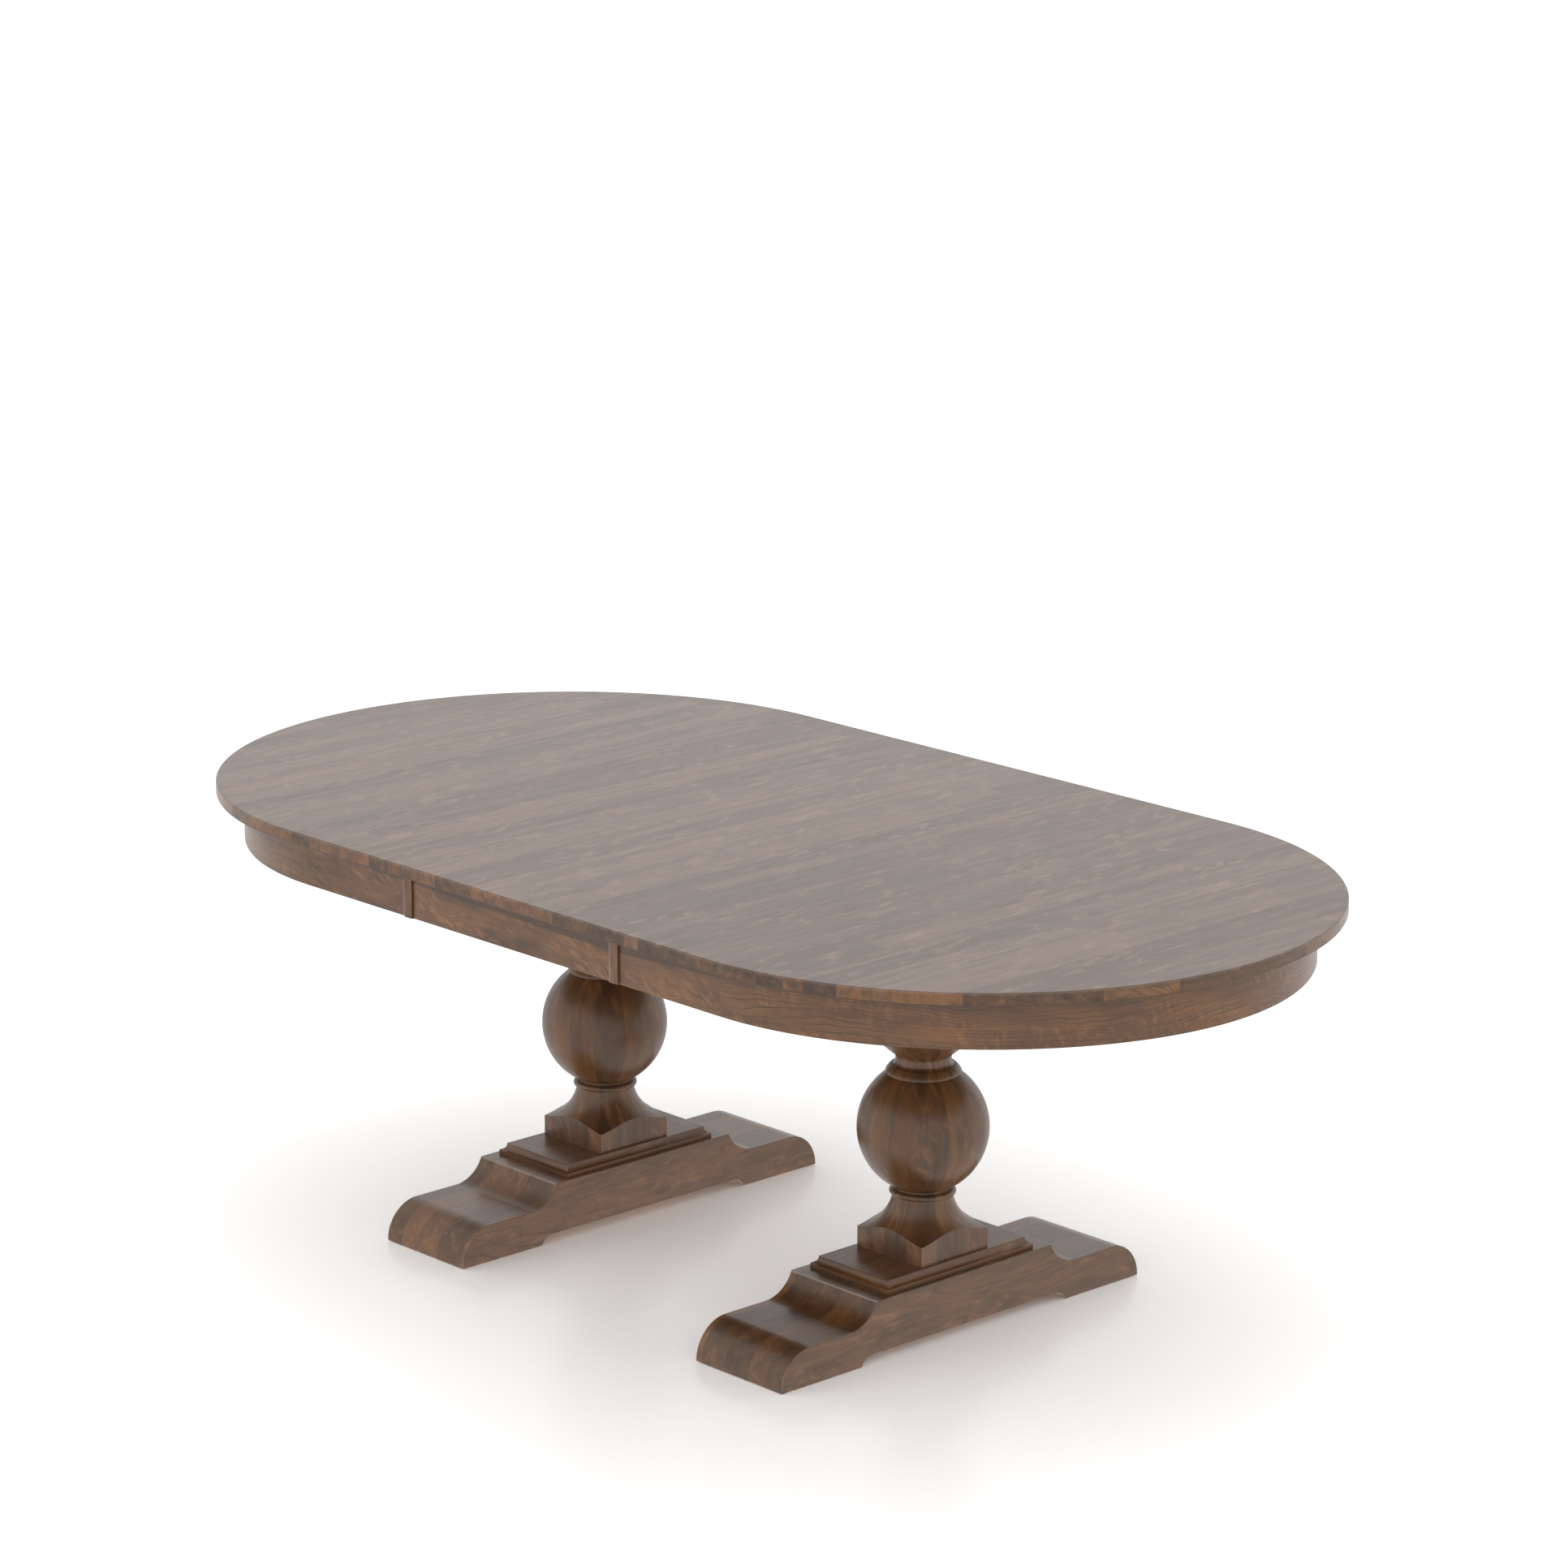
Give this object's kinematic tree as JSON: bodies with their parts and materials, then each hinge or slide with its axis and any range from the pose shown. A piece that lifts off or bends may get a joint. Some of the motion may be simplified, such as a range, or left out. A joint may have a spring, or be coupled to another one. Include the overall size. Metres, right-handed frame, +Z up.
{
  "type": "oval extension dining table",
  "caption": "Oval extending dining table of stained wood: lift-out leaf on geared sliding rails, seam locks, curved apron, and turned ball pedestals on long shaped feet.",
  "frame": {"origin": "on the floor, below the middle of the top", "axes": "+X along the table towards the right end, +Y across it to the back, +Z up"},
  "size_m": [2.2188, 1.189, 0.764],
  "materials": {
    "top_wood": "grey-brown stained birch, satin lacquer",
    "apron_wood": "grey-brown stained birch, satin lacquer",
    "strip_wood": "grey-brown stained birch, satin lacquer",
    "foot_wood": "grey-brown stained birch, satin lacquer",
    "plate_wood": "grey-brown stained birch, satin lacquer",
    "column_wood": "turned glued birch, stained, satin lacquer",
    "cleat_wood": "stained hardwood, thin lacquer",
    "rail_wood": "bare waxed hardwood",
    "block_wood": "bare softwood",
    "pin_wood": "bare beech",
    "gear_plastic": "moulded nylon",
    "glide_plastic": "moulded nylon",
    "lock_steel": "zinc plated",
    "fastener_steel": "zinc plated"
  },
  "bodies": {
    "base": {"foot_left": "foot_wood", "foot_right": "foot_wood", "base_plate_left": "plate_wood", "base_plate_right": "plate_wood", "column_left": "column_wood", "column_right": "column_wood", "cleat_left": "cleat_wood", "cleat_right": "cleat_wood", "cross_battens": "cleat_wood", "centre_rail_front": "rail_wood", "centre_rail_back": "rail_wood", "tie_rods": "fastener_steel", "rod_nuts": "fastener_steel", "rod_washers": "fastener_steel", "pedestal_dowels": "block_wood", "rail_screws": "fastener_steel", "floor_glides": "glide_plastic", "pinion_pins": "fastener_steel", "slide_stop_pins": "fastener_steel"},
    "right_half": {"top_right": "top_wood", "apron_end_right": "apron_wood", "apron_front_right": "apron_wood", "apron_back_right": "apron_wood", "seam_strip_right": "strip_wood", "runner_front_right": "rail_wood", "runner_back_right": "rail_wood", "racks_right": "gear_plastic", "end_rail_right": "rail_wood", "glue_blocks_right": "block_wood", "seam_pins_right": "pin_wood", "screws_right": "fastener_steel", "lock_plates_right": "lock_steel", "lock_catches_right": "lock_steel"},
    "left_half": {"top_left": "top_wood", "apron_end_left": "apron_wood", "apron_front_left": "apron_wood", "apron_back_left": "apron_wood", "seam_strip_left": "strip_wood", "runner_front_left": "rail_wood", "runner_back_left": "rail_wood", "racks_left": "gear_plastic", "end_rail_left": "rail_wood", "glue_blocks_left": "block_wood", "seam_pins_left": "pin_wood", "screws_left": "fastener_steel", "lock_plates_left": "lock_steel", "lock_catches_left": "lock_steel"},
    "leaf": {"leaf_top": "top_wood", "leaf_apron_front": "apron_wood", "leaf_apron_back": "apron_wood", "leaf_seam_strips": "strip_wood", "leaf_glue_blocks": "block_wood", "leaf_catches": "lock_steel", "leaf_screws": "fastener_steel"},
    "pinion_front": {"pinion_front": "gear_plastic"},
    "pinion_back": {"pinion_back": "gear_plastic"},
    "lock_lever_back_right": {"lock_lever_back_right": "lock_steel"},
    "lock_lever_front_right": {"lock_lever_front_right": "lock_steel"},
    "lock_lever_back_left": {"lock_lever_back_left": "lock_steel"},
    "lock_lever_front_left": {"lock_lever_front_left": "lock_steel"}
  },
  "joints": [
    {"name": "right_half_slide", "type": "slide", "parent": "base", "child": "right_half", "axis": [1, 0, 0], "range_m": [0, 0.035]},
    {"name": "left_half_slide", "type": "slide", "parent": "base", "child": "left_half", "axis": [-1, 0, 0], "range_m": [0, 0.035]},
    {"name": "leaf_lift", "type": "slide", "parent": "base", "child": "leaf", "axis": [0, 0, 1], "range_m": [0, 0.18]},
    {"name": "pinion_front_spin", "type": "hinge", "parent": "base", "child": "pinion_front", "pos_m": [0, -0.25, 0.71], "axis": [0, 0, 1], "range_deg": [-111.5, 0]},
    {"name": "pinion_back_spin", "type": "hinge", "parent": "base", "child": "pinion_back", "pos_m": [0, 0.25, 0.71], "axis": [0, 0, 1], "range_deg": [-111.5, 0]},
    {"name": "lock_lever_back_right_hinge", "type": "hinge", "parent": "right_half", "child": "lock_lever_back_right", "pos_m": [0.2707, 0.46014, 0.7397], "axis": [0, 0, -1], "range_deg": [0, 90]},
    {"name": "lock_lever_front_right_hinge", "type": "hinge", "parent": "right_half", "child": "lock_lever_front_right", "pos_m": [0.2707, -0.37989, 0.7397], "axis": [0, 0, -1], "range_deg": [0, 90]},
    {"name": "lock_lever_back_left_hinge", "type": "hinge", "parent": "left_half", "child": "lock_lever_back_left", "pos_m": [-0.2707, 0.37989, 0.7397], "axis": [0, 0, -1], "range_deg": [0, 90]},
    {"name": "lock_lever_front_left_hinge", "type": "hinge", "parent": "left_half", "child": "lock_lever_front_left", "pos_m": [-0.2707, -0.46014, 0.7397], "axis": [0, 0, -1], "range_deg": [0, 90]}
  ],
  "couplings": [
    {"joint": "left_half_slide", "follows": "right_half_slide", "ratio": 1},
    {"joint": "pinion_front_spin", "follows": "right_half_slide", "rad_per_m": -55.556},
    {"joint": "pinion_back_spin", "follows": "right_half_slide", "rad_per_m": -55.556}
  ]
}
